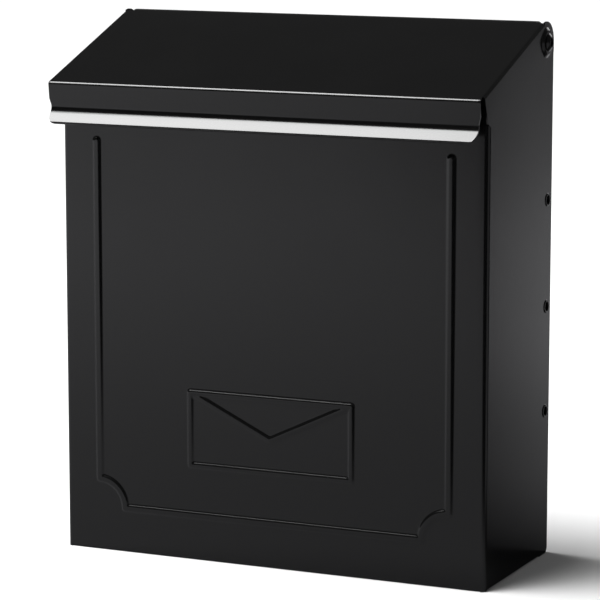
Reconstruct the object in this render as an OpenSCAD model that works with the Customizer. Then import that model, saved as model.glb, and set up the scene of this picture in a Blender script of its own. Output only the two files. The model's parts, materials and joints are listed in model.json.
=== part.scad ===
// Wall mounted mailbox in folded sheet steel, with a sloping lid that swings on two rivets.
// Origin: centre of the four wall screw holes, in the plane of the wall.
// +X is to the right of someone facing the box, +Y goes into the wall, +Z is up.

/* [Box] */
// Width across the outside of the two sides
body_w = 240; // [170:1:400]
// Depth from the wall to the outside of the front
body_d = 93; // [70:1:180]
// Height of the hinge line above the underside
hinge_h = 273.3; // [200:0.1:420]
// Thickness of the sheet steel
sheet_t = 0.8; // [0.6:0.1:1.2]
// Outside radius of the two upright bends at the front
front_bend_r = 2.5; // [1.5:0.1:6]
// Radius that rounds the lower rear corner of each side
heel_r = 3.5; // [1:0.1:8]
// Width of the flanges turned in under the front and the sides
base_flange = 9; // [6:0.5:16]
// Depth of the hem folded down inside the top of the front
front_hem = 9; // [4:0.5:20]
// Gap between the top edges of the box and the underside of the lid
top_gap = 1.5; // [0.8:0.1:4]

/* [Lid] */
// Slope of the lid's top
lid_slope = 19.8; // [8:0.1:30]
// How far the lid's front fold stands out past the front
lid_overhang = 14.5; // [8:0.5:30]
// Gap on each side between the box and the lid's side flange
side_gap = 0.7; // [0.4:0.1:2]
// Outside radius of the lid's front fold
fold_r = 1.7; // [1.2:0.1:4]
// How far the front apron leans in towards the box, from upright
apron_lean = 6; // [0:0.5:12]
// Length of the flat of the front apron
apron_flat = 10.8; // [6:0.1:30]
// Angle through which the pull lip flares out at the foot of the apron
lip_flare = 51; // [30:1:80]
// Inside radius of the pull lip's curve
lip_r = 5.2; // [2.5:0.1:10]
// Flat at the end of the pull lip
lip_flat = 5.2; // [0.5:0.1:8]
// Length of the hem folded under the edge of the pull lip
lip_hem = 1.5; // [0.5:0.1:4]
// Distance from each end of the apron to the end of the lid
apron_inset = 1; // [0:0.1:4]
// Distance from each end of the pull lip to the end of the lid
lip_inset = 2; // [0:0.1:6]
// Radius on the two outer corners of the pull lip
lip_corner_r = 5.5; // [1:0.5:7]
// Height of the side flange just behind the front fold
flange_front_h = 18.4; // [12:0.1:40]
// Height of the side flange at the hinge line
flange_rear_h = 22; // [16:0.1:45]
// How far behind the front fold the side flange starts
flange_setback = 3.2; // [1:0.1:10]
// How far the front edge of the side flange slants back at its foot
flange_slant = 6.8; // [0:0.1:15]

/* [Hinge] */
// Distance from the wall to the hinge line
hinge_inset = 15; // [12.5:0.1:30]
// Outside radius of the roll at the back of the lid, round the hinge line
roll_r = 10.8; // [9:0.1:20]
// Angle below level at which the roll ends, behind the hinge line
roll_end = 58; // [0:1:70]
// Flat at the free edge of the roll
roll_flat = 1; // [0.5:0.1:4]
// Length cut off the roll at each end of the lid
roll_relief = 5; // [5:0.5:20]
// Diameter of the hinge rivet's shank
hinge_pin_d = 5; // [3:0.1:7]
// Radial clearance of the lid's holes on the hinge rivets
hinge_fit = 0.06; // [0.02:0.01:0.1]
// Diameter of the hinge rivet's head
hinge_head_d = 9.4; // [7:0.1:10.5]
// Height of the hinge rivet's head
hinge_head_h = 1.9; // [1:0.1:3]
// Diameter of the dimple in the hinge rivet's head
hinge_dimple_d = 4.6; // [1:0.1:6]
// Height of the round boss pressed out of the lid's ear
boss_h = 1.2; // [0.6:0.1:2.5]
// Diameter of the boss at its foot
boss_foot_d = 16.4; // [15.2:0.1:18]
// Diameter of the flat on top of the boss
boss_top_d = 12; // [12:0.1:14]
// Diameter of the nylon spacer inside the boss
spacer_d = 10.6; // [8:0.1:11]
// Play left between the lid's ear and what holds it, on each face
hinge_play = 0.15; // [0.1:0.05:0.4]
// Diameter of the steel washer that backs the hinge rivet inside the box
burr_d = 11; // [8:0.1:14]
// Thickness of that washer
burr_t = 0.8; // [0.5:0.1:1.5]

/* [Embossing] */
// Width of the raised bead on the front
bead_w = 4.8; // [3:0.1:8]
// Height of the raised bead
bead_h = 1.0; // [0.5:0.1:2]
// Width of each sloping flank of a bead
bead_flank = 1.3; // [0.5:0.1:1.8]
// Distance from the side of the box to the middle of the upright bead
border_side = 20; // [14:0.5:40]
// Height of the lower bead above the underside
border_foot = 24; // [14:0.5:50]
// Height at which the upright beads end
border_top = 222.5; // [150:0.5:235]
// Radius of the quarter circle scooped out of each lower corner
scoop_r = 15; // [6:0.5:30]
// Width of the raised envelope outline
envelope_w = 96; // [50:1:120]
// Height of the raised envelope outline
envelope_h = 43; // [25:1:60]
// Height of the envelope's lower edge above the underside
envelope_foot = 49; // [40:1:100]
// How far down the envelope its flap points, as a share of its height
flap_share = 0.56; // [0.3:0.01:0.8]
// Height of the two raised lines of the envelope's flap
flap_bead_h = 0.8; // [0.3:0.1:2]
// Width of the envelope's bead
envelope_bead_w = 4; // [2.5:0.1:6]

/* [Back and floor] */
// Height of the back panel's top edge above the underside
back_h = 259; // [180:0.5:400]
// Depth of the flanges turned forward down both sides of the back panel
back_flange = 14; // [10:0.5:30]
// Depth of the flange turned forward along the top of the back panel
back_top_flange = 8; // [5:0.5:12]
// Depth of the flange turned forward along the foot of the back panel
back_foot_flange = 12; // [8:0.5:20]
// Outside radius of the bend at the foot of the back panel
back_bend_r = 2.4; // [1.2:0.1:4]
// Height of the flanges turned up at the sides of the floor
floor_flange = 12; // [6:0.5:25]
// Diameter of the drain holes in the floor
drain_d = 6; // [4:0.5:10]
// Distance from the middle of a drain hole to the nearest sides of the box
drain_inset = 24; // [20:1:40]

/* [Fixings] */
// Width between the wall screw holes
screw_span_x = 170; // [100:1:300]
// Height between the wall screw holes
screw_span_z = 170; // [90:1:300]
// Height of the lower wall screw holes above the underside
screw_foot = 45; // [25:1:80]
// Diameter of the wall screw holes
screw_hole_d = 6; // [4:0.1:8]
// Heights of the hollow rivets down each side
side_rivet_h = [78, 134, 190.5]; // [60:0.5:240]
// Distance from the wall to the hollow rivets
side_rivet_inset = 6.6; // [5:0.1:12]
// Diameter of a hollow rivet's shank
side_rivet_d = 5.8; // [3:0.1:7]
// Diameter of the hole in a hollow rivet
side_rivet_bore = 4.8; // [2:0.1:6]
// Number of rivets along the front of the floor, and again along its back
floor_rivet_count = 3; // [2:1:6]
// Diameter of a floor rivet's shank
floor_rivet_d = 3.2; // [2.4:0.1:5]

/* [Hidden] */
$fn = 64;

coat = "#1b1b1c";
nylon = "#2a2a2c";
bare_steel = "#8f9194";

half_w = body_w / 2;
inner_half_w = half_w - sheet_t;
front_y = -body_d;

// hinge line, and the lid's upper surface, which is a tangent of the roll round it
hinge_y = -hinge_inset;
fold_y = front_y - lid_overhang;
lid_rise = tan(lid_slope);
lid_z_at_hinge = hinge_h + roll_r / cos(lid_slope);
tangent_y = hinge_y - roll_r * sin(lid_slope);
tangent_z = hinge_h + roll_r * cos(lid_slope);
fold_z = lid_z(fold_y);

// outside radius of the closed hem on the lip
hem_r = sheet_t + 0.05;

lid_inner_half_w = half_w + side_gap;
lid_half_w = lid_inner_half_w + sheet_t;

// top edges of the box run parallel to the underside of the lid
rim_drop = (sheet_t + top_gap) / cos(lid_slope);
tab_r = roll_r - sheet_t - top_gap;
front_top_z = rim_z(front_y);

// hinge stack, outwards from the inside of the box
ear_inner_x = lid_inner_half_w + boss_h;
ear_outer_x = ear_inner_x + sheet_t;
spacer_t = ear_inner_x - half_w - hinge_play;
burr_inner_x = inner_half_w - burr_t;
hinge_tail_t = 1.2;
hinge_tail_d = hinge_pin_d + 2.6;

// fixed fit of a shank in the sheets that it holds together, and the rims that hold them
shank_gap = 0.05;
hinge_dimple_h = hinge_head_h * 0.65;
rivet_head_t = 0.45;
rivet_tail_t = 0.7;
rivet_rim = 0.7;
floor_rivet_rim = 1.2;

// the back panel lies inside the sides; the floor lies on the base flanges
back_half_w = inner_half_w;
floor_z = sheet_t;
floor_top_z = floor_z + sheet_t;
floor_front_y = front_y + sheet_t;
floor_front_rivet_y = front_y + base_flange * 0.55;
floor_rear_rivet_y = -back_foot_flange * 0.55;
floor_rivet_span = body_w - 4 * base_flange;

screw_mid_h = screw_foot + screw_span_z / 2;

function lid_z(y) = lid_z_at_hinge + (y - hinge_y) * lid_rise;
function rim_z(y) = lid_z(y) - rim_drop;

// lower edge of the lid's side flange
flange_front_y = fold_y + flange_setback + flange_slant;
function flange_foot_z(y) =
    lid_z(y) - flange_front_h
    - (flange_rear_h - flange_front_h) * (y - flange_front_y) / (hinge_y - flange_front_y);

// points of an outline whose corners are rounded, each corner given as [x, y, radius]
function unit(v) = v / norm(v);
function corner_arc(a, b, c) =
    b[2] <= 0 ? [[b[0], b[1]]] :
    let (
        p = [b[0], b[1]],
        u = unit([a[0], a[1]] - p),
        w = unit([c[0], c[1]] - p),
        half = acos(u * w) / 2,
        centre = p + unit(u + w) * b[2] / sin(half),
        t0 = p + u * b[2] / tan(half) - centre,
        t1 = p + w * b[2] / tan(half) - centre,
        steps = 8
    )
    [for (i = [0 : steps]) centre + b[2] * unit(t0 * (1 - i / steps) + t1 * (i / steps))];
function rounded(pts) =
    [for (i = [0 : len(pts) - 1])
        for (q = corner_arc(pts[(i + len(pts) - 1) % len(pts)], pts[i], pts[(i + 1) % len(pts)])) q];

// outline of a folded strip of sheet: each step is [flat length, turn in degrees, radius]. The
// outside of the sheet starts at p and runs along the heading, with the steel on its left; a left
// turn is given its outside radius, and a right turn its inside radius
function heading(a) = [cos(a), sin(a)];
function turned(v, a) = [v[0] * cos(a) - v[1] * sin(a), v[0] * sin(a) + v[1] * cos(a)];
function strip_side(steps, off, p, a, i = 0) =
    i == len(steps) ? [] :
    let (
        turn = steps[i][1],
        left = heading(a + 90),
        q = p + steps[i][0] * heading(a),
        centre = q + sign(turn) * steps[i][2] * left,
        cuts = max(1, ceil(abs(turn) / 9))
    )
    concat(
        i == 0 ? [p + off * left] : [],
        turn == 0 ? [q + off * left] :
            [for (k = [0 : cuts]) centre + turned(q + off * left - centre, turn * k / cuts)],
        strip_side(steps, off, centre + turned(q - centre, turn), a + turn, i + 1)
    );
function strip_outline(steps, p, a) =
    let (inside = strip_side(steps, sheet_t, p, a))
    concat(strip_side(steps, 0, p, a), [for (i = [len(inside) - 1 : -1 : 0]) inside[i]]);

// moves a part from its place above the underside to its place about the screw holes
module placed() {
    translate([0, 0, -screw_mid_h]) children();
}

// turns a flat shape drawn as (depth, height) into a slab across the box
module across(width) {
    rotate([90, 0, 90]) linear_extrude(width, center = true) children();
}

// the same slab, from x0 outwards
module slab_from(x0, thickness) {
    translate([x0, 0, 0]) rotate([90, 0, 90]) linear_extrude(thickness) children();
}

// a shape on the right, and its mirror image on the left
module both_sides() {
    children();
    mirror([1, 0, 0]) children();
}

// cross-section of a pressed bead, standing on y = 0 and let into the sheet below it
module bead_section(w, h = bead_h) {
    polygon([
        [-w / 2, -sheet_t / 2],
        [w / 2, -sheet_t / 2],
        [w / 2, 0],
        [w / 2 - bead_flank, h],
        [bead_flank - w / 2, h],
        [-w / 2, 0]
    ]);
}

// rounded end or corner of a bead, at p = [x, z] on the front
module bead_cap(p, w, h = bead_h) {
    translate([p[0], front_y, p[1]]) rotate([90, 0, 0]) rotate_extrude() polygon([
        [0, -sheet_t / 2],
        [w / 2, -sheet_t / 2],
        [w / 2, 0],
        [w / 2 - bead_flank, h],
        [0, h]
    ]);
}

// straight bead from p to q, both [x, z] on the front
module bead_run(p, q, w, h = bead_h) {
    d = q - p;
    translate([p[0], front_y, p[1]])
        rotate([0, -atan2(d[1], d[0]), 0]) rotate([90, 0, 0]) rotate([90, 0, 90])
        linear_extrude(norm(d)) bead_section(w, h);
    bead_cap(p, w, h);
    bead_cap(q, w, h);
}

// quarter circle of bead about the lower outer corner of the border, on the right
module bead_scoop(corner, w) {
    translate([corner[0], front_y, corner[1]]) rotate([90, 0, 0])
        rotate([0, 0, 90]) rotate_extrude(angle = 90) translate([scoop_r, 0]) bead_section(w);
}

module border() {
    corner = [half_w - border_side, border_foot];
    both_sides() {
        bead_run([corner[0], border_top - bead_w / 2], [corner[0], corner[1] + scoop_r], bead_w);
        bead_scoop(corner, bead_w);
        bead_cap([corner[0] - scoop_r, corner[1]], bead_w);
    }
    bead_run([scoop_r - corner[0], corner[1]], [corner[0] - scoop_r, corner[1]], bead_w);
}

module envelope() {
    w = envelope_bead_w;
    x = (envelope_w - w) / 2;
    z0 = envelope_foot + w / 2;
    z1 = envelope_foot + envelope_h - w / 2;
    corners = [[-x, z0], [x, z0], [x, z1], [-x, z1]];
    for (i = [0 : 3]) bead_run(corners[i], corners[(i + 1) % 4], w);
    // the two sides of the flap are mirror images that meet in the middle
    both_sides() intersection() {
        bead_run([0, z1 - (z1 - z0) * flap_share], [x, z1], w, flap_bead_h);
        translate([0, -2 * body_d, 0]) cube([body_w, 2 * body_d, hinge_h]);
    }
}

// outline of one side of the box, as (depth, height)
module side_outline() {
    ear_y = hinge_y + tab_r;
    shoulder_h = hinge_h - 5;
    shoulder_r = 1.2;
    polygon(rounded([
        [front_y, 0, 0],
        [front_y, rim_z(front_y), 0],
        [hinge_y - tab_r * sin(lid_slope), hinge_h + tab_r * cos(lid_slope), 0],
        [hinge_y, hinge_h, 0],
        [ear_y, hinge_h, 0],
        [ear_y, shoulder_h + 1, shoulder_r],
        [-sheet_t / 2, shoulder_h, shoulder_r],
        [-sheet_t / 2, 0, heel_r]
    ]));
    translate([hinge_y, hinge_h]) circle(tab_r);
}

module hinge_hole(r) {
    translate([0, hinge_y, hinge_h]) rotate([0, 90, 0]) cylinder(r = r, h = body_w * 2, center = true);
}

module side_rivet_places() {
    for (h = side_rivet_h) translate([0, -side_rivet_inset, h]) rotate([0, 90, 0]) children();
}

module floor_rivet_row(y) {
    for (i = [0 : floor_rivet_count - 1])
        translate([floor_rivet_span * (i / (floor_rivet_count - 1) - 0.5), y, 0]) children();
}

module floor_rivet_holes() {
    for (y = [floor_front_rivet_y, floor_rear_rivet_y])
        floor_rivet_row(y) cylinder(r = floor_rivet_d / 2 + shank_gap, h = 10 * sheet_t, center = true);
}

module side_rivet_holes() {
    translate([-body_w, 0, 0]) side_rivet_places()
        cylinder(r = side_rivet_d / 2 + shank_gap, h = 2 * body_w);
}

// plan of the sheet that wraps round the front and both sides
module wrap_plan() {
    difference() {
        polygon(rounded([
            [-half_w, 0, 0],
            [-half_w, front_y, front_bend_r],
            [half_w, front_y, front_bend_r],
            [half_w, 0, 0]
        ]));
        polygon(rounded([
            [-inner_half_w, 1, 0],
            [-inner_half_w, front_y + sheet_t, front_bend_r - sheet_t],
            [inner_half_w, front_y + sheet_t, front_bend_r - sheet_t],
            [inner_half_w, 1, 0]
        ]));
    }
}

// flanges turned in under the front and the sides, mitred where they meet
module base_flanges() {
    mitre = 0.4;
    linear_extrude(sheet_t) {
        polygon([
            [-half_w + front_bend_r, front_y + sheet_t / 2],
            [half_w - front_bend_r, front_y + sheet_t / 2],
            [half_w - front_bend_r - base_flange, front_y + base_flange],
            [-half_w + front_bend_r + base_flange, front_y + base_flange]
        ]);
        both_sides() polygon([
            [half_w - sheet_t / 2, front_y + front_bend_r + mitre],
            [half_w - base_flange, front_y + front_bend_r + base_flange + mitre],
            [half_w - base_flange, -back_foot_flange],
            [half_w - sheet_t / 2, -back_foot_flange]
        ]);
    }
}

module body_shell() {
    color(coat) difference() {
        union() {
            intersection() {
                linear_extrude(hinge_h + roll_r) wrap_plan();
                across(2 * body_w) side_outline();
            }
            base_flanges();
            // hem inside the top of the front
            translate([-inner_half_w + front_bend_r, front_y + sheet_t, front_top_z - front_hem])
                cube([2 * (inner_half_w - front_bend_r), sheet_t, front_hem]);
            border();
            envelope();
        }
        hinge_hole(hinge_pin_d / 2 + shank_gap);
        side_rivet_holes();
        floor_rivet_holes();
    }
}

module back_panel() {
    foot = floor_top_z;
    flange_taper = 6;
    flange_corner_r = 3;
    profile = [
        [back_foot_flange - back_bend_r, 90, back_bend_r],
        [back_h - foot - 2 * back_bend_r, 90, back_bend_r],
        [back_top_flange - back_bend_r, 0, 1]
    ];
    color(coat) difference() {
        union() {
            across(2 * back_half_w) polygon(strip_outline(profile, [-back_foot_flange, foot], 0));
            both_sides() slab_from(back_half_w - sheet_t, sheet_t) polygon(rounded([
                [-sheet_t / 2, foot + back_bend_r, 0],
                [-sheet_t / 2, back_h - back_bend_r, 0],
                [-back_flange, back_h - back_bend_r - flange_taper, flange_corner_r],
                [-back_flange, foot + back_foot_flange, flange_corner_r]
            ]));
        }
        for (x = [-1, 1], z = [screw_foot, screw_foot + screw_span_z])
            translate([x * screw_span_x / 2, 1, z]) rotate([90, 0, 0])
                cylinder(r = screw_hole_d / 2, h = 3 * sheet_t);
        side_rivet_holes();
        floor_rivet_holes();
    }
}

module floor_panel() {
    rear_y = -2 * sheet_t;
    corner = front_bend_r;
    flange_start_y = floor_front_y + 2 * corner;
    flange_end_y = -back_flange - 2;
    color(coat) difference() {
        union() {
            translate([-inner_half_w, floor_front_y + corner, floor_z])
                cube([2 * inner_half_w, rear_y - floor_front_y - corner, sheet_t]);
            translate([-inner_half_w + corner, floor_front_y, floor_z])
                cube([2 * (inner_half_w - corner), 2 * corner, sheet_t]);
            both_sides() translate([inner_half_w - sheet_t, flange_start_y, floor_z])
                cube([sheet_t, flange_end_y - flange_start_y, floor_flange]);
        }
        for (x = [-1, 1], y = [front_y + drain_inset, -drain_inset])
            translate([x * (half_w - drain_inset), y, 0]) cylinder(r = drain_d / 2, h = 4 * sheet_t);
        floor_rivet_holes();
    }
}

// outline of the lid's side flange with its ear, as (depth, height)
module flange_outline() {
    rear_y = hinge_y + roll_r;
    corner_r = 4;
    polygon(rounded([
        [fold_y + flange_setback, lid_z(fold_y + flange_setback), 0],
        [tangent_y, tangent_z, 0],
        [hinge_y, hinge_h, 0],
        [rear_y, hinge_h, 0],
        [rear_y, flange_foot_z(rear_y), corner_r],
        [flange_front_y, flange_foot_z(flange_front_y), corner_r]
    ]));
    translate([hinge_y, hinge_h]) circle(roll_r);
}

// plate, front fold, apron, pull lip and the hem on its edge, seen from the side
fold_turn = 90 - lid_slope + apron_lean;
fold_cut = fold_r * tan(fold_turn / 2);
lid_strip = strip_outline([
    [norm([tangent_y - fold_y, tangent_z - fold_z]) - fold_cut, fold_turn, fold_r],
    [apron_flat, -lip_flare, lip_r],
    [lip_flat, 180, hem_r],
    [lip_hem, 0, 1]
], [tangent_y, tangent_z], 180 + lid_slope);

// roll at the back of the lid, with the stretch of plate that it grows from
roll_lap = 3;
roll_strip = strip_outline([
    [roll_flat, 90 + lid_slope + roll_end, roll_r],
    [roll_lap, 0, 1]
], [hinge_y, hinge_h] + roll_r * heading(-roll_end) - roll_flat * heading(90 - roll_end), 90 - roll_end);

// front view of the lid: the apron stops short of the side flanges, and the lip has round corners
module lid_front_outline() {
    apron_half = lid_half_w - apron_inset;
    lip_half = lid_half_w - lip_inset;
    apron_top = fold_z - fold_r;
    lip_top = fold_z - fold_r - apron_flat;
    lip_foot = min([for (p = lid_strip) p[1]]);
    polygon([
        [-lid_half_w, apron_top],
        [lid_half_w, apron_top],
        [lid_half_w, lid_z_at_hinge],
        [-lid_half_w, lid_z_at_hinge]
    ]);
    polygon(rounded([
        [-apron_half, apron_top + fold_r / 2, 0],
        [-apron_half, lip_top, 0],
        [-lip_half, lip_top, 0],
        [-lip_half, lip_foot, lip_corner_r],
        [lip_half, lip_foot, lip_corner_r],
        [lip_half, lip_top, 0],
        [apron_half, lip_top, 0],
        [apron_half, apron_top + fold_r / 2, 0]
    ]));
}

// pressed boss round the hinge hole: solid, and the hollow behind it
module boss(foot_d, top_d, h) {
    rotate([0, 90, 0]) cylinder(d1 = foot_d, d2 = top_d, h = h);
}

module lid() {
    color(coat) difference() {
        union() {
            intersection() {
                across(2 * lid_half_w) polygon(lid_strip);
                rotate([90, 0, 0]) linear_extrude(4 * body_d, center = true) lid_front_outline();
            }
            across(2 * (lid_half_w - roll_relief)) polygon(roll_strip);
            both_sides() {
                slab_from(lid_inner_half_w, sheet_t) flange_outline();
                translate([lid_inner_half_w + sheet_t, hinge_y, hinge_h])
                    boss(boss_foot_d, boss_top_d, boss_h);
            }
        }
        both_sides() translate([lid_inner_half_w, hinge_y, hinge_h])
            boss(boss_foot_d - sheet_t, boss_top_d - sheet_t, boss_h);
        hinge_hole(hinge_pin_d / 2 + hinge_fit);
    }
}

// domed head, shank and clenched tail, pointing outwards from the inside of the box
module hinge_rivet() {
    head_x = ear_outer_x + hinge_play;
    tail_x = burr_inner_x;
    dome_r = (hinge_head_d * hinge_head_d / 4 + hinge_head_h * hinge_head_h) / (2 * hinge_head_h);
    color(coat) translate([0, hinge_y, hinge_h]) rotate([0, 90, 0]) rotate_extrude() {
        translate([0, tail_x - hinge_tail_t]) square([hinge_tail_d / 2, hinge_tail_t]);
        translate([0, tail_x - 0.01]) square([hinge_pin_d / 2, head_x - tail_x + 0.02]);
        intersection() {
            translate([0, head_x + hinge_head_h - dome_r]) circle(dome_r);
            translate([hinge_dimple_d / 2, head_x]) square([hinge_head_d, hinge_head_h + 1]);
        }
        translate([0, head_x]) square([hinge_dimple_d / 2 + 0.01, hinge_head_h - hinge_dimple_h]);
    }
}

module washer(x0, thickness, outer_d, hole_d) {
    translate([x0, hinge_y, hinge_h]) rotate([0, 90, 0]) difference() {
        cylinder(d = outer_d, h = thickness);
        translate([0, 0, -1]) cylinder(d = hole_d, h = thickness + 2);
    }
}

module hinge_spacer() {
    color(nylon) washer(half_w, spacer_t, spacer_d, hinge_pin_d + 2 * hinge_fit);
}

module hinge_burr() {
    color(bare_steel) washer(burr_inner_x, burr_t, burr_d, hinge_pin_d + 2 * shank_gap);
}

// hollow rivets that hold the back panel's flange to one side of the box
module side_rivets() {
    grip = 2 * sheet_t;
    wall = (side_rivet_d - side_rivet_bore) / 2;
    color(coat) side_rivet_places() rotate_extrude() translate([0, half_w]) {
        difference() {
            translate([0, -grip]) square([side_rivet_d / 2, grip]);
            translate([0, -grip + wall]) square([side_rivet_bore / 2, grip]);
        }
        translate([side_rivet_bore / 2, 0]) square([wall + rivet_rim, rivet_head_t]);
        translate([0, -grip - rivet_tail_t]) square([side_rivet_d / 2 + rivet_rim, rivet_tail_t]);
    }
}

// one flat rivet, flush underneath and clenched over two sheets
module floor_rivet() {
    cylinder(d = floor_rivet_d, h = 2 * sheet_t);
    translate([0, 0, 2 * sheet_t]) cylinder(r = floor_rivet_d / 2 + floor_rivet_rim, h = rivet_tail_t);
}

// rivets that hold the floor to the front flange and to the foot of the back panel
module floor_rivets() {
    color(coat) {
        floor_rivet_row(floor_front_rivet_y) floor_rivet();
        translate([0, 0, floor_z]) floor_rivet_row(floor_rear_rivet_y) floor_rivet();
    }
}

placed() body_shell();
placed() back_panel();
placed() floor_panel();
placed() lid();
placed() mirror([1, 0, 0]) hinge_rivet();  // hinge_rivet_left
placed() hinge_rivet();  // hinge_rivet_right
placed() mirror([1, 0, 0]) hinge_spacer();  // hinge_spacer_left
placed() hinge_spacer();  // hinge_spacer_right
placed() mirror([1, 0, 0]) hinge_burr();  // hinge_burr_left
placed() hinge_burr();  // hinge_burr_right
placed() mirror([1, 0, 0]) side_rivets();  // side_rivets_left
placed() side_rivets();  // side_rivets_right
placed() floor_rivets();
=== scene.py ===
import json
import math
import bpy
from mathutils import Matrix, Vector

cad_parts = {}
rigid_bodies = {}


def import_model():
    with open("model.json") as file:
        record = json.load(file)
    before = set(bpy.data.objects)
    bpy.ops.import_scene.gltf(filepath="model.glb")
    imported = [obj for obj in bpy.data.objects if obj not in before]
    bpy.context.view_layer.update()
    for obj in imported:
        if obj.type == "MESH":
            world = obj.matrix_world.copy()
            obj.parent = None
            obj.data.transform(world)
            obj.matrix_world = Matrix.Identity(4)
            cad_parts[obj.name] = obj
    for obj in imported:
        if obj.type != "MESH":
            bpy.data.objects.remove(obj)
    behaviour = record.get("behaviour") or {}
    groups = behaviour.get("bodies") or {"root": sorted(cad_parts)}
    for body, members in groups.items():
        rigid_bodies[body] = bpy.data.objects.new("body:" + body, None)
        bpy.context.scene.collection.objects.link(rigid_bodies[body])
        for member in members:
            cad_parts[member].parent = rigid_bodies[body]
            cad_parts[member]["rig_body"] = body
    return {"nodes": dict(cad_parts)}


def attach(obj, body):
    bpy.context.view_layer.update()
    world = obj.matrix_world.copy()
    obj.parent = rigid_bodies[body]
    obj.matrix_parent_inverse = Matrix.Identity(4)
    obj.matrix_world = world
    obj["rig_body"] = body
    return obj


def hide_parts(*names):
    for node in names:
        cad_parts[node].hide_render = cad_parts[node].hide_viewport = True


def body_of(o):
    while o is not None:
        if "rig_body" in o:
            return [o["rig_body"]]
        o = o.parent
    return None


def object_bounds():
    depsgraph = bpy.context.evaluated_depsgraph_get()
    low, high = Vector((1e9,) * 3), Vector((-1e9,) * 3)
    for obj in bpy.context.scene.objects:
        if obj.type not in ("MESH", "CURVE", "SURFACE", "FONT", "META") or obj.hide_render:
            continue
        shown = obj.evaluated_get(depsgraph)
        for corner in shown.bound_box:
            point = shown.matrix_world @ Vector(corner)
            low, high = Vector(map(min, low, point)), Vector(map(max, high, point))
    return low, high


bl_info = {
    "name": "Wall mailbox",
    "version": (1, 0, 0),
    "blender": (4, 5, 0),
    "location": "View3D > Sidebar > Mailbox",
    "description": "Finished sheet metal, rivets and coatings for a wall mounted mailbox",
    "category": "Object",
}

import bmesh
import bpy
from bpy.props import FloatProperty, FloatVectorProperty, PointerProperty
from mathutils import Euler, Vector
from mathutils.geometry import tessellate_polygon

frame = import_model()
CAD_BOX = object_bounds()

MM = 0.001
# height of the frame's origin, the middle of the wall screws, above the underside of the box
SCREW_MIDDLE = -CAD_BOX[0].z / MM

# --------------------------------------------------------------------------------------------
# sizes


class MailboxSizes(bpy.types.PropertyGroup):
    """Sizes that the finished sheets add to the frame, and those they share with it"""

    sheet: FloatProperty(
        name="Sheet", description="Thickness of the sheet steel", default=0.8 * MM,
        min=0.5 * MM, max=1.5 * MM, unit="LENGTH", precision=5)
    front_bend: FloatProperty(
        name="Front bends", description="Outside radius of the upright bends at the front",
        default=2.5 * MM, min=1 * MM, max=6 * MM, unit="LENGTH", precision=5)
    small_bend: FloatProperty(
        name="Flange bends", description="Outside radius of the bends at the small flanges",
        default=1.5 * MM, min=0.9 * MM, max=3 * MM, unit="LENGTH", precision=5)
    edge_round: FloatProperty(
        name="Edge rounding", description="How far the coat rounds off the cut edges",
        default=0.26 * MM, min=0.02 * MM, max=0.3 * MM, unit="LENGTH", precision=5)
    bead_width: FloatProperty(
        name="Bead width", description="Width of the border's pressed bead", default=4.8 * MM,
        min=3 * MM, max=8 * MM, unit="LENGTH", precision=5)
    bead_height: FloatProperty(
        name="Bead height", description="Height of the border's pressed bead", default=0.75 * MM,
        min=0.3 * MM, max=2 * MM, unit="LENGTH", precision=5)
    emblem_width: FloatProperty(
        name="Envelope bead", description="Width of the envelope's pressed lines",
        default=4.0 * MM, min=2 * MM, max=6 * MM, unit="LENGTH", precision=5)


class MailboxFinish(bpy.types.PropertyGroup):
    """Colours and gloss of the finishes"""

    coat_color: FloatVectorProperty(
        name="Powder coat", description="Colour of the powder coat", subtype="COLOR", size=3,
        min=0, max=1, default=(0.0012, 0.0012, 0.00125))
    coat_gloss: FloatProperty(
        name="Coat roughness", description="Roughness of the powder coat", default=0.17,
        min=0, max=1, subtype="FACTOR")
    nylon_color: FloatVectorProperty(
        name="Nylon", description="Colour of the hinge spacers", subtype="COLOR", size=3,
        min=0, max=1, default=(0.022, 0.022, 0.024))
    steel_color: FloatVectorProperty(
        name="Steel", description="Colour of the bare steel washers", subtype="COLOR", size=3,
        min=0, max=1, default=(0.42, 0.43, 0.44))
    floor_color: FloatVectorProperty(
        name="Floor", description="Colour of the studio floor", subtype="COLOR", size=3,
        min=0, max=1, default=(0.86, 0.86, 0.86))


# --------------------------------------------------------------------------------------------
# shaders


class Value:
    """A shader socket carrying one number, used in Python expressions."""

    def __init__(self, shader, socket):
        self.shader, self.socket = shader, socket

    def _math(self, operation, first, second):
        return Value(self.shader, self.shader.node(
            "ShaderNodeMath", {"operation": operation}, {0: first, 1: second}).outputs[0])

    def __add__(self, other):
        return self._math("ADD", self, other)

    def __mul__(self, other):
        return self._math("MULTIPLY", self, other)

    def __sub__(self, other):
        return self._math("SUBTRACT", self, other)

    def __rsub__(self, other):
        return self._math("SUBTRACT", other, self)

    __radd__, __rmul__ = __add__, __mul__


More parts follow.
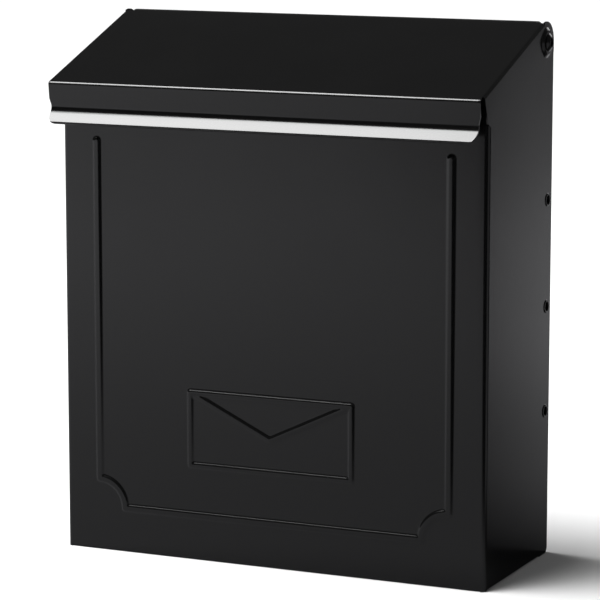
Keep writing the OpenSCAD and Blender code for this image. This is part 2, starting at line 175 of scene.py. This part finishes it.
class Shader:
    """A material's node tree, with one way to add any node."""

    def __init__(self, name):
        self.material = bpy.data.materials.new(name)
        self.material.use_nodes = True
        self.tree = self.material.node_tree
        self.surface = self.tree.nodes["Principled BSDF"]
        self.place = self.node("ShaderNodeTexCoord").outputs["Object"]

    def feed(self, socket, value):
        if isinstance(value, Value):
            value = value.socket
        if isinstance(value, bpy.types.NodeSocket):
            self.tree.links.new(value, socket)
        else:
            socket.default_value = value

    def node(self, kind, settings=None, inputs=None):
        made = self.tree.nodes.new(kind)
        for key, value in (settings or {}).items():
            setattr(made, key, value)
        for key, value in (inputs or {}).items():
            self.feed(made.inputs[key], value)
        return made

    def noise(self, per_metre, detail, roughness):
        """Noise whose cells are about 1 / per_metre long."""
        made = self.node("ShaderNodeTexNoise", None, {
            "Vector": self.place, "Scale": per_metre, "Detail": detail,
            "Roughness": roughness})
        return Value(self, made.outputs["Fac"])

    def between(self, mask, low, high):
        """Smooth step of a mask from 0 at low to 1 at high."""
        made = self.node("ShaderNodeMapRange", {"interpolation_type": "SMOOTHSTEP"}, {
            "Value": mask, "From Min": low, "From Max": high})
        return Value(self, made.outputs[0])

    def tint(self, mask, dark, light):
        """Colour that goes from dark to light with a mask."""
        made = self.node("ShaderNodeMix", {"data_type": "RGBA"}, {
            "Factor": mask, "A": (*dark, 1), "B": (*light, 1)})
        return made.outputs["Result"]

    def bump(self, height, distance):
        made = self.node("ShaderNodeBump", None, {
            "Height": height, "Distance": distance, "Strength": 1.0})
        return made.outputs[0]

    def finish(self, **sockets):
        for key, value in sockets.items():
            self.feed(self.surface.inputs[key.replace("_", " ")], value)
        return self.material


def powder_coat(finish):
    """Gloss black powder coat: a faint orange peel, a few soft patches and fine dust."""
    s = Shader("powder_coat")
    peel = s.noise(520, 1.0, 0.4)
    ripple = s.noise(130, 1.0, 0.4)
    patches = s.noise(22, 3.0, 0.55)
    specks = s.between(s.noise(2600, 1.0, 0.5), 0.70, 0.78)
    color = tuple(finish.coat_color)
    light = tuple(c * 1.5 for c in color)
    rough = finish.coat_gloss - 0.03 + 0.06 * patches + 0.05 * specks
    return s.finish(
        Base_Color=s.tint(patches, color, light),
        Roughness=rough,
        Normal=s.bump(peel + 1.6 * ripple, 0.006 * MM),
        IOR=1.45,
    )


def moulded_nylon(finish):
    """Dark nylon, matt, with the fine grain of its mould."""
    s = Shader("moulded_nylon")
    grain = s.noise(2400, 2.0, 0.6)
    color = tuple(finish.nylon_color)
    return s.finish(
        Base_Color=s.tint(grain, tuple(c * 0.85 for c in color), tuple(c * 1.3 for c in color)),
        Roughness=0.48 + 0.12 * grain,
        Normal=s.bump(grain, 0.02 * MM),
        IOR=1.53,
    )


def washer_steel(finish):
    """Bare steel, dull, with punching marks."""
    s = Shader("washer_steel")
    marks = s.noise(900, 3.0, 0.6)
    stain = s.noise(160, 2.0, 0.5)
    color = tuple(finish.steel_color)
    return s.finish(
        Base_Color=s.tint(stain, tuple(c * 0.75 for c in color), tuple(c * 1.2 for c in color)),
        Metallic=1.0,
        Roughness=0.28 + 0.2 * marks,
        Normal=s.bump(marks, 0.01 * MM),
    )


def studio_floor(finish):
    """Matt pale floor with the faintest mottling."""
    s = Shader("studio_floor")
    cloud = s.noise(3, 2.0, 0.5)
    color = tuple(finish.floor_color)
    return s.finish(
        Base_Color=s.tint(cloud, tuple(c * 0.99 for c in color), color),
        Roughness=0.75 + 0.05 * cloud,
        Specular_IOR_Level=0.2,
    )


def painted_reflection_card(finish):
    """Painted reflection and painted shade for the gloss to mirror, on a sheet just above the
    floor: pale at the front left, black at the front right, grey beside and behind. Measured
    across and along a line that leaves the front at 24 degrees."""
    s = Shader("painted_reflection_card")
    split = s.node("ShaderNodeSeparateXYZ", None, {0: s.place})
    x, y = (Value(s, split.outputs[i]) for i in (0, 1))
    across, along = 0.91 * x - 0.41 * y, 0.41 * x + 0.91 * y
    # painted shade: the tones darken near the box and to the right, where the gloss should mirror
    # shade
    behind = s.between(along, -0.03, 0.06)
    front = 0.33 + 0.34 * s.between(along, -0.1, -1.7)
    front = front * (1 - 0.18 * s.between(across, -0.25, 0.2))
    front = front * (1 - 0.95 * s.between(across, 0.17, 0.38))
    rear = 0.18 + 0.20 * s.between(along, 0.15, 0.8) - 0.17 * s.between(along, 0.9, 2.2)
    rear = rear * (1 - 0.92 * s.between(across + 0.05 * along, 0.05, 0.20))
    beside = s.between(x * x - 7 * (y + 0.05) * (y + 0.05), 0.0, 0.1) * s.between(x, 0.2, 0.4)
    tone = (front * (1 - behind) + rear * behind) * (1 - beside) + 0.24 * beside
    return s.finish(Base_Color=s.tint(tone, (0, 0, 0), (0.99, 0.99, 1.02)), Roughness=0.95,
                    Specular_IOR_Level=0.0)


MATERIALS = {}


def material(name):
    """The material of that name, made once."""
    makers = {
        "powder_coat": powder_coat,
        "moulded_nylon": moulded_nylon,
        "washer_steel": washer_steel,
        "studio_floor": studio_floor,
        "painted_reflection_card": painted_reflection_card,
    }
    if name not in MATERIALS:
        MATERIALS[name] = makers[name](bpy.context.scene.mailbox_finish)
    return MATERIALS[name]


# --------------------------------------------------------------------------------------------
# outlines, worked out in millimetres above the underside and out from the wall

HALF_WIDTH = 120.0
FRONT = -93.0
SLOPE = math.radians(19.8)
HINGE = Vector((-15.0, 273.3))
ROLL = 10.8
FOLD_Y = -107.5
RIM_GAP = 1.5
HEEL = 3.5
# how far the flanges and the hem are turned in
TURNED_IN = 9
RIVET_HOLE, HINGE_HOLE = 2.95, 2.55
SIDE_RIVETS = [(-6.6, height) for height in (78.0, 134.0, 190.5)]

LID_HALF = 121.5
# half width of the lid's evenly spaced columns, inside those that fan out to its edges
LID_INNER = 110.5
EAR_RISE = 1.2
HINGE_PLAY = 0.15
FOLD_BEND = 1.7
UP = Vector((-math.sin(SLOPE), math.cos(SLOPE)))
DOWNHILL = Vector((-math.cos(SLOPE), -math.sin(SLOPE)))
PLATE_END = HINGE + ROLL * UP


def lid_height(y):
    return HINGE.y + ROLL / math.cos(SLOPE) + (y - HINGE.x) * math.tan(SLOPE)


def rim_height(y, sheet):
    return lid_height(y) - (sheet + RIM_GAP) / math.cos(SLOPE)


def arc(centre, radius, start, stop, steps):
    """Points on an arc between two angles in degrees, both ends included."""
    turn = [math.radians(start + (stop - start) * i / steps) for i in range(steps + 1)]
    return [Vector(centre) + radius * Vector((math.cos(a), math.sin(a))) for a in turn]


def rounded(corners, steps=8):
    """Outline whose corners (point, radius) are rounded."""
    out = []
    for i, (point, radius) in enumerate(corners):
        point = Vector(point)
        if radius <= 0:
            out.append(point)
            continue
        before = (Vector(corners[i - 1][0]) - point).normalized()
        after = (Vector(corners[(i + 1) % len(corners)][0]) - point).normalized()
        half = before.angle(after) / 2
        centre = point + (before + after).normalized() * radius / math.sin(half)
        first = point + before * radius / math.tan(half) - centre
        last = point + after * radius / math.tan(half) - centre
        for k in range(steps + 1):
            t = k / steps
            out.append(centre + radius * first.lerp(last, t).normalized())
    return out


def spread(*spans):
    """Lines from a list of spans (start, end, step), each end shared with the next start."""
    out = [spans[0][0]]
    for start, end, step in spans:
        count = max(1, round((end - start) / step))
        out += [start + (end - start) * (i + 1) / count for i in range(count)]
    return out


class Sheet:
    """The outside face of a folded sheet, gathered as points and faces in millimetres."""

    def __init__(self):
        self.bm = bmesh.new()

    def point(self, x, y, z):
        return self.bm.verts.new((x * MM, y * MM, (z - SCREW_MIDDLE) * MM))

    def grid(self, rows):
        """Quads between rows of points, each a list of (x, y, z), or None where cut away."""
        made = [[self.point(*p) if p else None for p in row] for row in rows]
        for low, high in zip(made, made[1:]):
            for i in range(len(low) - 1):
                corners = [low[i], low[i + 1], high[i + 1], high[i]]
                if all(corners):
                    self.bm.faces.new(corners)

    def flat(self, outer, holes, lift):
        """A flat face with holes; lift turns a point of the outline into (x, y, z)."""
        loops = [outer, *holes]
        made = [self.point(*lift(p)) for loop in loops for p in loop]
        for a, b, c in tessellate_polygon([[Vector((*p, 0)) for p in loop] for loop in loops]):
            self.bm.faces.new((made[a], made[b], made[c]))

    def finish(self, name, node, outside, thickness, edge):
        """Merges the faces into one sheet of real thickness that stands for a CAD node."""
        bmesh.ops.remove_doubles(self.bm, verts=self.bm.verts, dist=0.02 * MM)
        bmesh.ops.dissolve_degenerate(self.bm, edges=self.bm.edges, dist=0.002 * MM)
        bmesh.ops.recalc_face_normals(self.bm, faces=self.bm.faces)
        self.bm.faces.ensure_lookup_table()
        probe = Vector(outside)
        face = max(self.bm.faces, key=lambda f: f.calc_center_median().dot(probe))
        if face.normal.dot(probe) < 0:
            bmesh.ops.reverse_faces(self.bm, faces=self.bm.faces)
        mesh = bpy.data.meshes.new(name)
        self.bm.to_mesh(mesh)
        self.bm.free()
        mesh.shade_smooth()
        piece = bpy.data.objects.new(name, mesh)
        bpy.context.scene.collection.objects.link(piece)
        solid = piece.modifiers.new("thickness", "SOLIDIFY")
        solid.thickness, solid.offset = thickness, -1.0
        solid.use_even_offset = True
        round_off = piece.modifiers.new("edges", "BEVEL")
        round_off.width, round_off.segments = edge, 2
        round_off.limit_method, round_off.angle_limit = "ANGLE", math.radians(50)
        round_off.use_clamp_overlap = True
        weigh = piece.modifiers.new("shading", "WEIGHTED_NORMAL")
        weigh.mode, weigh.weight = "FACE_AREA_WITH_ANGLE", 80
        mesh.materials.append(material("powder_coat"))
        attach(piece, body_of(frame["nodes"][node])[0])
        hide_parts(node)


def ring(centre, radius, steps=48):
    """A closed circle of points."""
    return arc(centre, radius, 0, 360 * (steps - 1) / steps, steps - 1)


# --------------------------------------------------------------------------------------------
# embossing


def bead_rise(distance, width, height):
    """Height of a pressed bead off its middle line: soft foot, slightly domed crest."""
    flank = 1.35
    t = (width / 2 - distance) / flank
    if t <= 0:
        return 0.0
    t = min(t, 1.0)
    dome = 0.12 * height * (1 - (2 * distance / width) ** 2)
    return (height - dome) * t * t * (3 - 2 * t) + dome


def to_line(p, a, b):
    """Distance from p to the straight line between a and b."""
    along = b - a
    t = max(0.0, min(1.0, (p - a).dot(along) / along.length_squared))
    return (p - a - t * along).length


class Embossing:
    """The border and the envelope on the front, as distances to their middle lines."""

    def __init__(self, sizes):
        self.bead = sizes.bead_width / MM
        self.rise = sizes.bead_height / MM
        self.line = sizes.emblem_width / MM
        side, foot, top, scoop = HALF_WIDTH - 20, 24.0, 222.5, 15.0
        self.corner, self.scoop = Vector((side, foot)), scoop
        self.runs = [
            (Vector((side, foot + scoop)), Vector((side, top - self.bead / 2))),
            (Vector((0, foot)), Vector((side - scoop, foot))),
        ]
        width, height, start = 96, 43, 49
        half, low = (width - self.line) / 2, start + self.line / 2
        high = start + height - self.line / 2
        point = high - (high - low) * 0.56
        self.outline = [
            (Vector((0, low)), Vector((half, low))),
            (Vector((half, low)), Vector((half, high))),
            (Vector((half, high)), Vector((0, high))),
        ]
        self.flap = (Vector((half, high)), Vector((0, point)))

    def border(self, p):
        near = min(to_line(p, *run) for run in self.runs)
        out = p - self.corner
        if out.x <= 0 and out.y >= 0:
            near = min(near, abs(out.length - self.scoop))
        return bead_rise(near, self.bead, self.rise)

    def envelope(self, p):
        edge = bead_rise(min(to_line(p, *run) for run in self.outline), self.line, self.rise)
        flap = bead_rise(to_line(p, *self.flap), self.line, 0.8 * self.rise)
        return max(edge, flap)

    def at(self, x, z):
        p = Vector((abs(x), z))
        if 43 < z < 98 and p.x < 56:
            return self.envelope(p)
        if p.x > 76 or z < 30:
            return self.border(p)
        return 0.0


# --------------------------------------------------------------------------------------------
# operators


class MAILBOX_OT_body_shell(bpy.types.Operator):
    """Make the sheet that wraps round the front and both sides, with its pressed border"""

    bl_idname = "mailbox.body_shell"
    bl_label = "Body shell"

    def execute(self, context):
        sizes = context.scene.mailbox_sizes
        t, bend, small = (v / MM for v in (sizes.sheet, sizes.front_bend, sizes.small_bend))
        emboss = Embossing(sizes)
        sheet = Sheet()
        flat_half = HALF_WIDTH - bend
        half = spread((0, 49, 0.45), (49, 82, 4), (82, 103, 0.45), (103, flat_half, 3.5))
        columns = [-x for x in reversed(half[1:])] + half
        hem = t + 0.05
        front_top = rim_height(FRONT, t)
        heights = spread(
            (small, 20, 4), (20, 42, 0.45), (42, 48, 2), (48, 93, 0.45), (93, 217, 6),
            (217, 224, 0.45), (224, front_top - hem, 5))

        # flange turned in under the front, then the front, then the hem inside its top
        rows = [[(x * (flat_half - TURNED_IN) / flat_half, FRONT + TURNED_IN, 0) for x in columns]]
        rows += [[(x, p.x, p.y) for x in columns]
                 for p in arc((FRONT + small, small), small, -90, -180, 5)[:-1]]
        rows += [[(x, FRONT - emboss.at(x, z), z) for x in columns] for z in heights]
        rows += [[(x, p.x, p.y) for x in columns]
                 for p in arc((FRONT + hem, front_top - hem), hem, 180, 0, 8)[1:]]
        rows.append([(x, FRONT + 2 * hem, front_top - TURNED_IN) for x in columns])
        sheet.grid(rows)

        # the two upright bends
        for side in (-1, 1):
            sheet.grid([
                [(side * (HALF_WIDTH - q.y), q.x, z) for q in self.corner(bend)]
                for z in [0, *heights]
            ] + [[
                (side * (HALF_WIDTH - q.y), q.x, rim_height(q.x, t)) for q in self.corner(bend)
            ]])

        # the two sides, with their rivet holes and hinge tabs, and the flanges turned in below
        tab = ROLL - t - RIM_GAP
        rear, tab_rear = -t / 2, HINGE.x + tab
        flange_front, flange_rear = FRONT + bend + 0.4, -12.0
        front_edge = FRONT + bend
        outline = [Vector((front_edge, z)) for z in [0, *heights]]
        outline.append(Vector((front_edge, rim_height(front_edge, t))))
        outline += arc(HINGE, tab, 90 + math.degrees(SLOPE), 0, 24)
        outline += rounded([
            ((tab_rear, HINGE.y), 0), ((tab_rear, HINGE.y - 4), 1.2), ((rear, HINGE.y - 5), 1.2),
            ((rear, 0), HEEL), ((flange_rear, 0), 0)])[1:]
        outline += [Vector((flange_rear, small)), Vector((flange_front, small)),
                    Vector((flange_front, 0))]
        holes = [ring(p, RIVET_HOLE) for p in SIDE_RIVETS] + [ring(HINGE, HINGE_HOLE)]
        for side in (-1, 1):
            sheet.flat(outline, holes, lambda p: (side * HALF_WIDTH, p.x, p.y))
            turns = [math.radians(15 * i) for i in range(7)]
            under = [
                (side * (HALF_WIDTH - small + small * math.cos(a)), small - small * math.sin(a))
                for a in turns]
            ends = [[(x, y, z) for x, z in under] for y in (flange_front, flange_rear)]
            inner = side * (HALF_WIDTH - TURNED_IN)
            sheet.grid([
                [*ends[0], (inner, flange_front + TURNED_IN - small, 0)],
                [*ends[1], (inner, flange_rear, 0)],
            ])
        sheet.finish("shell_sheet", "body_shell", (0, -1, 0), sizes.sheet, sizes.edge_round)
        return {"FINISHED"}

    @staticmethod
    def corner(bend):
        """Plan of an upright bend as (y, distance in from the side), from the front round."""
        return arc((FRONT + bend, bend), bend, 180, 270, 8)


class MAILBOX_OT_lid(bpy.types.Operator):
    """Make the lid: plate, fold, apron, pull lip, side flanges with pressed ears, rear roll"""

    bl_idname = "mailbox.lid"
    bl_label = "Lid"

    def execute(self, context):
        sizes = context.scene.mailbox_sizes
        t, small = sizes.sheet / MM, sizes.small_bend / MM
        sheet = Sheet()
        lip = self.profile(t)
        foot = min(p.y for p in lip)
        fold = Vector((FOLD_Y, lid_height(FOLD_Y)))
        length = (fold - PLATE_END).length
        flange_start = length - 4.2
        stations = spread((0, flange_start, 12), (flange_start, flange_start + 1, 1))
        inner = spread((-LID_INNER, LID_INNER, 17))
        fan = [0.3, 0.63, 0.85, 1.0]

        def row(p, reach):
            """Points across the lid at p, out to the given half width."""
            xs = [LID_INNER + f * (reach - LID_INNER) for f in fan]
            return [(x, p.x, p.y) for x in [-x for x in reversed(xs)] + inner + xs]

        bend_start = LID_HALF - small
        rows = [row(PLATE_END + s * DOWNHILL, bend_start) for s in stations[:-1]]
        rows.append(row(PLATE_END + stations[-1] * DOWNHILL, LID_HALF - 1))
        for p in lip:
            rows.append(row(p, self.reach(p.y, fold.y, foot)))
        sheet.grid(rows)

        # rear roll, cut short at both ends, on the plate's own columns
        back = arc(HINGE, ROLL, 90 + math.degrees(SLOPE), -58, 26)
        last = math.radians(-148)
        back.append(back[-1] + Vector((math.cos(last), math.sin(last))))
        roll = [place[0] for place in rows[0][2:-2]]
        sheet.grid([[(x, p.x, p.y) for x in roll] for p in back])

        # side flanges, each with its bend from the plate and its pressed ear
        outline = self.flange(small, stations[:-1])
        ear_steps = 48
        for side in (-1, 1):
            bends = [math.radians(15 * i) for i in range(7)]
            rows = []
            for s in stations[:-1]:
                here = PLATE_END + s * DOWNHILL
                line = [here - small * (1 - math.cos(a)) * UP for a in bends]
                rows.append([(side * (bend_start + small * math.sin(a)), p.x, p.y)
                             for a, p in zip(bends, line)])
            sheet.grid(rows)
            steps = [
                (8.2, 0.0), (7.9, 0.05), (7.45, 0.29), (6.95, 0.65), (6.5, 0.96), (6.15, 1.14),
                (5.8, EAR_RISE), (3.2, EAR_RISE), (2.56, EAR_RISE)]
            sheet.flat(outline, [ring(HINGE, steps[0][0], ear_steps)],
                       lambda p: (side * LID_HALF, p.x, p.y))
            rows = []
            for radius, rise in steps:
                circle = ring(HINGE, radius, ear_steps)
                circle.append(circle[0])
                rows.append([(side * (LID_HALF + rise), p.x, p.y) for p in circle])
            sheet.grid(rows)
        sheet.finish("lid_sheet", "lid", (0, -0.3, 1), sizes.sheet, sizes.edge_round)
        return {"FINISHED"}

    @staticmethod
    def profile(t):
        """Outside of the lid from the front fold to the hem of the pull lip, as (y, height)."""
        out = []
        heading = 180 + math.degrees(SLOPE)
        fold = Vector((FOLD_Y, lid_height(FOLD_Y)))
        turn = 96 - math.degrees(SLOPE)
        here = PLATE_END + DOWNHILL * (
            (fold - PLATE_END).length - FOLD_BEND * math.tan(math.radians(turn / 2)))
        # each step: straight run, turn in degrees, its radius, its cuts
        steps = [(0, turn, FOLD_BEND, 14), (10.8, -51, 5.2, 16), (5.2, 180, t + 0.05, 10),
                 (1.5, 0, 1, 1)]
        for run, bend, radius, cuts in steps:
            a = math.radians(heading)
            start = here + run * Vector((math.cos(a), math.sin(a)))
            if run > 5:
                out += [here.lerp(start, k / 3) for k in (1, 2)]
            out.append(start)
            side = 1 if bend > 0 else -1
            centre = start + side * radius * Vector((-math.sin(a), math.cos(a)))
            if bend:
                first = heading - 90 * side
                out += arc(centre, radius, first, first + bend, cuts)[1:]
                here = out[-1]
                heading += bend
        return out

    @staticmethod
    def reach(z, top, foot):
        """Half width of the fold, apron and pull lip at a height: the lip has round corners."""
        if z > top - 12:
            return LID_HALF - 1
        half, corner = LID_HALF - 2, 5.5
        below = foot + corner - z
        if below <= 0:
            return half
        return half - corner + math.sqrt(max(0.0, corner * corner - below * below))

    @staticmethod
    def flange(small, stations):
        """Outline of a side flange with its round ear, as (y, height)."""
        front, rear = FOLD_Y + 10, HINGE.x + ROLL
        front_depth, hinge_depth = 18.4, 22
        slope = (hinge_depth - front_depth) / (HINGE.x - front)

        def foot(y):
            return lid_height(y) - front_depth - slope * (y - front)

        top = [PLATE_END + s * DOWNHILL - small * UP for s in reversed(stations)]
        ear = arc(HINGE, ROLL, 0, 90 + math.degrees(SLOPE), 30)
        lower = rounded([(top[0], 0), ((front, foot(front)), 4), ((rear, foot(rear)), 4),
                         ((rear, HINGE.y), 0)])
        return lower + ear[1:] + list(reversed(top))[:-1]


def turned(name, node, outline, places, direction, coat, steps=48):
    """Round pieces turned from an outline of (radius, distance along x) at places (y, height)."""
    bm = bmesh.new()
    for y, z in places:
        rows = []
        for radius, along in outline:
            circle = []
            for k in range(steps):
                a = 2 * math.pi * k / steps
                circle.append(bm.verts.new((
                    direction * along * MM, (y + radius * math.cos(a)) * MM,
                    (z + radius * math.sin(a) - SCREW_MIDDLE) * MM)))
            rows.append(circle)
        closed = outline[0][0] > 0.001
        pairs = list(zip(rows, rows[1:])) + ([(rows[-1], rows[0])] if closed else [])
        for low, high in pairs:
            for k in range(steps):
                bm.faces.new((low[k], low[(k + 1) % steps], high[(k + 1) % steps], high[k]))
    bmesh.ops.remove_doubles(bm, verts=bm.verts, dist=0.001 * MM)
    bmesh.ops.recalc_face_normals(bm, faces=bm.faces)
    mesh = bpy.data.meshes.new(name)
    bm.to_mesh(mesh)
    bm.free()
    mesh.shade_smooth()
    mesh.set_sharp_from_angle(angle=math.radians(40))
    mesh.materials.append(material(coat))
    piece = bpy.data.objects.new(name, mesh)
    bpy.context.scene.collection.objects.link(piece)
    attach(piece, body_of(frame["nodes"][node])[0])
    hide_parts(node)


class MAILBOX_OT_hinges(bpy.types.Operator):
    """Make the hinge rivets, their nylon spacers and the washers that back them"""

    bl_idname = "mailbox.hinges"
    bl_label = "Hinges"

    def execute(self, context):
        t = context.scene.mailbox_sizes.sheet / MM
        ear = LID_HALF + EAR_RISE
        head, inside = ear + HINGE_PLAY, HALF_WIDTH - 2 * t
        rivet = [
            (0.0, head + 0.62), (1.9, head + 0.62), (2.15, head + 0.7), (2.28, head + 1.2),
            (2.4, head + 1.38), (2.6, head + 1.38), (3.0, head + 1.2), (3.6, head + 0.86),
            (4.2, head + 0.46), (4.6, head + 0.18), (4.7, head + 0.06), (4.6, head),
            (2.5, head), (2.5, inside), (3.5, inside), (3.7, inside - 0.2), (3.8, inside - 0.6),
            (3.6, inside - 1.0), (3.1, inside - 1.2), (0.0, inside - 1.2),
        ]
        spacer_end = ear - t - HINGE_PLAY
        spacer = [
            (2.56, HALF_WIDTH + 0.1), (2.66, HALF_WIDTH), (5.1, HALF_WIDTH),
            (5.3, HALF_WIDTH + 0.2), (5.3, spacer_end - 0.2), (5.1, spacer_end),
            (2.66, spacer_end), (2.56, spacer_end - 0.1),
        ]
        washer = [
            (2.55, inside + 0.1), (2.65, inside), (5.3, inside), (5.5, inside + 0.15),
            (5.5, inside + 0.75), (5.45, inside + t), (2.65, inside + t), (2.55, inside + t - 0.1),
        ]
        for side, direction in (("left", -1), ("right", 1)):
            for kind, outline, coat, slot in (
                ("hinge_rivet", rivet, "powder_coat", "black_coat"),
                ("hinge_spacer", spacer, "moulded_nylon", "nylon"),
                ("hinge_burr", washer, "washer_steel", "bare_steel"),
            ):
                turned(f"{kind}_{side}_turned", f"{kind}_{side}", outline, [tuple(HINGE)],
                       direction, coat)
        return {"FINISHED"}


class MAILBOX_OT_side_rivets(bpy.types.Operator):
    """Make the hollow rivets down both sides"""

    bl_idname = "mailbox.side_rivets"
    bl_label = "Side rivets"

    def execute(self, context):
        t = context.scene.mailbox_sizes.sheet / MM
        face, grip = HALF_WIDTH, 2 * t
        outline = [
            (0.0, face - grip + 0.4), (2.1, face - grip + 0.4), (2.4, face - grip + 0.6),
            (2.4, face + 0.1), (2.5, face + 0.3), (2.75, face + 0.43), (3.1, face + 0.42),
            (3.45, face + 0.25), (3.6, face + 0.02), (3.55, face), (2.9, face),
            (2.9, face - grip), (3.5, face - grip), (3.6, face - grip - 0.2),
            (3.5, face - grip - 0.5), (3.1, face - grip - 0.7), (0.0, face - grip - 0.7),
        ]
        for side, direction in (("left", -1), ("right", 1)):
            turned(f"side_rivets_{side}_turned", f"side_rivets_{side}", outline, SIDE_RIVETS,
                   direction, "powder_coat", 40)
        return {"FINISHED"}


class MAILBOX_OT_coat_frame(bpy.types.Operator):
    """Coat the back panel, the floor and the floor's rivets, which keep the frame's own shape"""

    bl_idname = "mailbox.coat_frame"
    bl_label = "Back and floor"

    def execute(self, context):
        for node in ("back_panel", "floor_panel", "floor_rivets"):
            mesh = frame["nodes"][node].data
            mesh.materials.clear()
            mesh.materials.append(material("powder_coat"))
        return {"FINISHED"}


def aimed(obj, target):
    """Turns a light so that it shines at a point."""
    obj.rotation_euler = (Vector(target) - obj.location).to_track_quat("-Z", "Y").to_euler()


def soft_box(name, place, target, width, height, power):
    data = bpy.data.lights.new(name, "AREA")
    data.shape, data.size, data.size_y, data.energy = "RECTANGLE", width, height, power
    lamp = bpy.data.objects.new(name, data)
    bpy.context.scene.collection.objects.link(lamp)
    lamp.location = place
    aimed(lamp, target)


def level(name, height):
    """A wide level sheet of the studio, in the material of its own name."""
    bm = bmesh.new()
    bmesh.ops.create_grid(bm, x_segments=8, y_segments=8, size=14)
    mesh = bpy.data.meshes.new(name)
    bm.to_mesh(mesh)
    bm.free()
    mesh.materials.append(material(name))
    sheet = bpy.data.objects.new(name, mesh)
    sheet.location.z = height
    bpy.context.scene.collection.objects.link(sheet)
    return sheet


class MAILBOX_OT_studio(bpy.types.Operator):
    """Make the floor, the lights and the camera"""

    bl_idname = "mailbox.studio"
    bl_label = "Studio"

    def execute(self, context):
        scene = context.scene
        low = CAD_BOX[0].z
        level("studio_floor", low)
        # painted reflection: a sheet seen only by glossy rays, its colour painted with the light
        # and shade the gloss mirrors
        card = level("painted_reflection_card", low + 0.5 * MM)
        card.visible_camera = card.visible_shadow = card.visible_diffuse = False

        sky = bpy.data.lights.new("sky", "SUN")
        sky.energy, sky.angle = 4.2, math.radians(44)
        lamp = bpy.data.objects.new("sky", sky)
        scene.collection.objects.link(lamp)
        lamp.location = (-0.41, -0.20, 0.89)
        aimed(lamp, (0, 0, 0))
        soft_box("overhead", (-0.90, -0.45, 2.0), (0, -0.10, 0.1), 1.5, 0.75, 30)
        soft_box("rear", (0.5, 2.3, 1.0), (0.12, 0, 0.1), 1.0, 1.0, 6)

        world = bpy.data.worlds.new("studio")
        world.use_nodes = True
        world.node_tree.nodes["Background"].inputs["Color"].default_value = (0.07, 0.07, 0.07, 1)
        scene.world = world

        lens = bpy.data.cameras.new("camera")
        lens.lens, lens.sensor_width = 179.55, 36
        lens.clip_end = 100
        camera = bpy.data.objects.new("camera", lens)
        camera.location = (0.6445, -1.4720, 0.2633)
        camera.rotation_euler = Euler((math.radians(80.634), 0, math.radians(24.459)))
        scene.collection.objects.link(camera)
        scene.camera = camera
        scene.view_settings.view_transform = "Standard"
        return {"FINISHED"}


class MAILBOX_PT_panel(bpy.types.Panel):
    """Sizes, finishes and the steps that make the mailbox"""

    bl_idname = "MAILBOX_PT_panel"
    bl_label = "Wall mailbox"
    bl_space_type = "VIEW_3D"
    bl_region_type = "UI"
    bl_category = "Mailbox"

    def draw(self, context):
        for group in (context.scene.mailbox_sizes, context.scene.mailbox_finish):
            column = self.layout.column()
            for key in group.__annotations__:
                column.prop(group, key)
        for step in STEPS:
            self.layout.operator(step.bl_idname)


STEPS = (
    MAILBOX_OT_body_shell,
    MAILBOX_OT_lid,
    MAILBOX_OT_hinges,
    MAILBOX_OT_side_rivets,
    MAILBOX_OT_coat_frame,
    MAILBOX_OT_studio,
)
CLASSES = (MailboxSizes, MailboxFinish, *STEPS, MAILBOX_PT_panel)


def register():
    for cls in CLASSES:
        bpy.utils.register_class(cls)
    bpy.types.Scene.mailbox_sizes = PointerProperty(type=MailboxSizes)
    bpy.types.Scene.mailbox_finish = PointerProperty(type=MailboxFinish)


def unregister():
    del bpy.types.Scene.mailbox_finish
    del bpy.types.Scene.mailbox_sizes
    for cls in reversed(CLASSES):
        bpy.utils.unregister_class(cls)


def main():
    register()
    bpy.ops.mailbox.body_shell()
    bpy.ops.mailbox.lid()
    bpy.ops.mailbox.hinges()
    bpy.ops.mailbox.side_rivets()
    bpy.ops.mailbox.coat_frame()
    bpy.ops.mailbox.studio()


if __name__ == "__main__":
    main()
